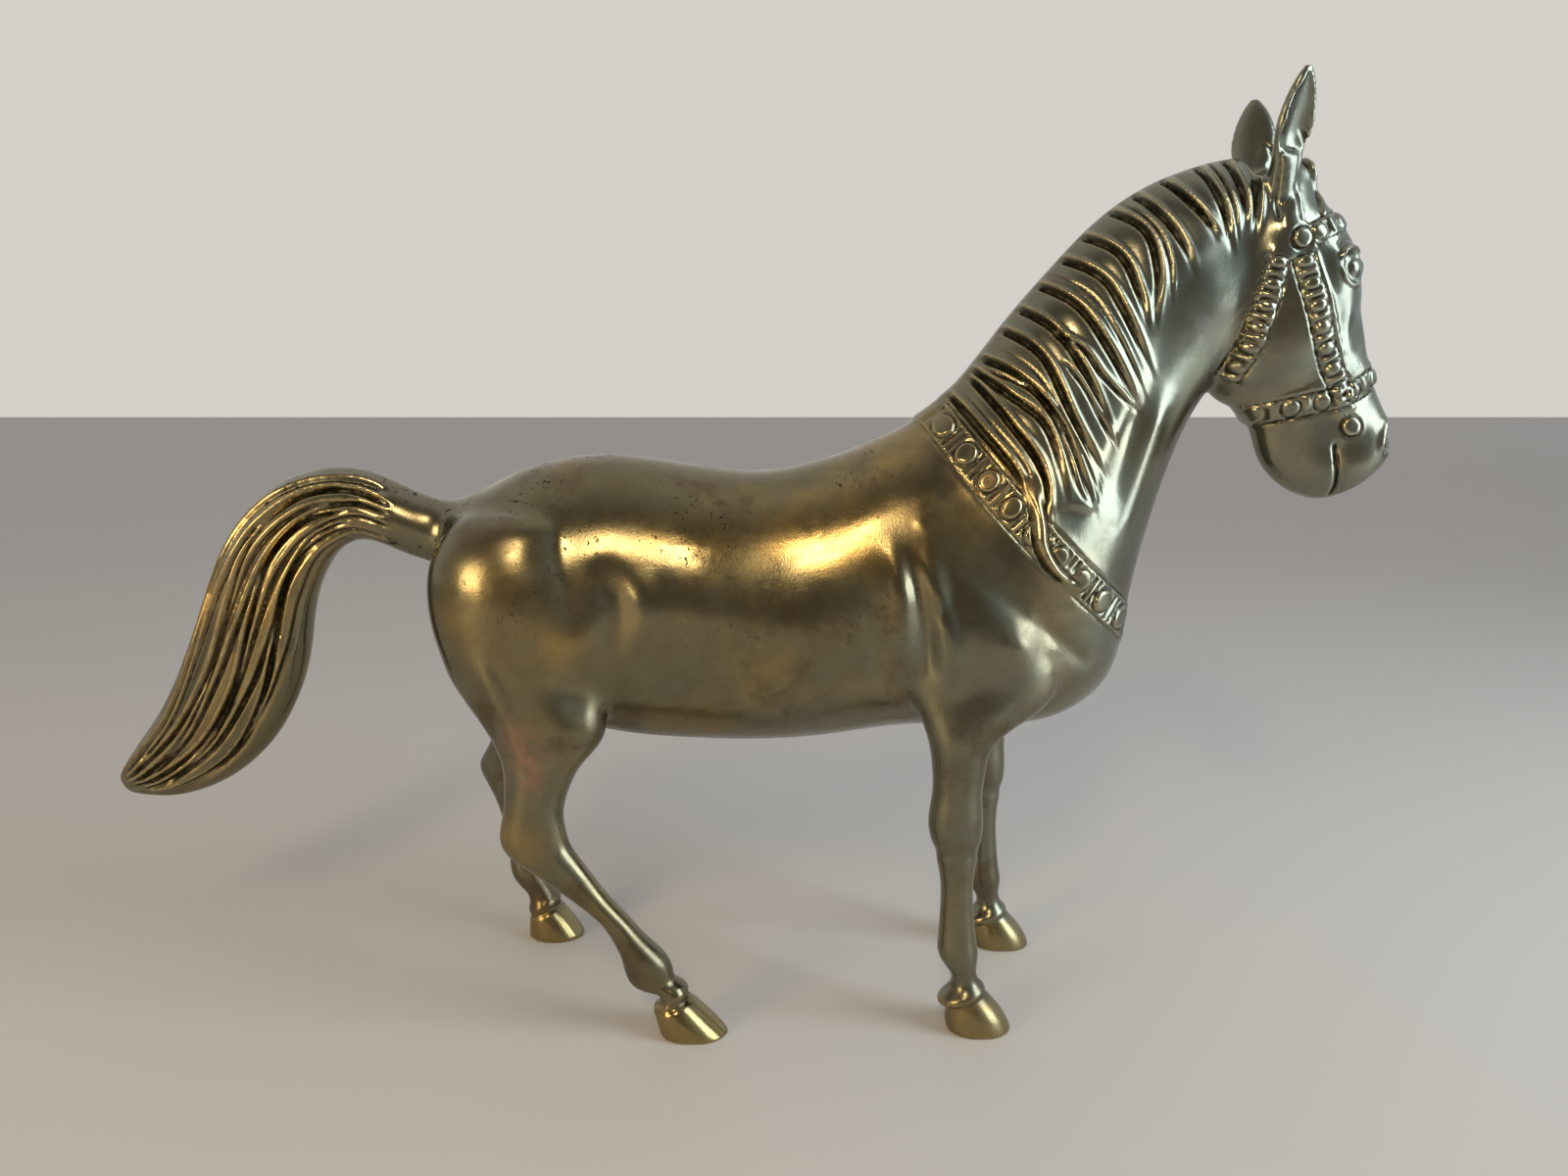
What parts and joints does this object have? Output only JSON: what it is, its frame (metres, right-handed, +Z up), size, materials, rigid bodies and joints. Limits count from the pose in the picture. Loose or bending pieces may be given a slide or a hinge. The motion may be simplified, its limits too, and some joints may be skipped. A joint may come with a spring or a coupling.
{
  "type": "horse statue",
  "caption": "Standing horse statue in hollow cast brass with a bridle and breast collar in relief, carved mane and raised tail, resting on its four hooves.",
  "frame": {"origin": "on the surface the hooves stand on, under the middle of the overall length", "axes": "+X towards the head along the horse, +Z up, +Y towards the horse's left side"},
  "size_m": [0.4317, 0.088, 0.3052],
  "materials": {
    "cast_brass": "aged polished brass, olive brown patina in the hollows, dark tarnish specks",
    "braze_metal": "brazing metal dressed flush, a little brighter than the castings"
  },
  "bodies": {
    "root": {"torso_right_shell": "cast_brass", "torso_left_shell": "cast_brass", "neck_right_shell": "cast_brass", "neck_left_shell": "cast_brass", "hind_right_leg": "cast_brass", "hind_left_leg": "cast_brass", "fore_right_leg": "cast_brass", "fore_left_leg": "cast_brass", "tail": "cast_brass", "torso_seam_braze": "braze_metal", "neck_seam_braze": "braze_metal", "neck_joint_braze": "braze_metal", "tail_joint_braze": "braze_metal", "hind_right_braze": "braze_metal", "hind_left_braze": "braze_metal", "fore_right_braze": "braze_metal", "fore_left_braze": "braze_metal"}
  },
  "joints": []
}
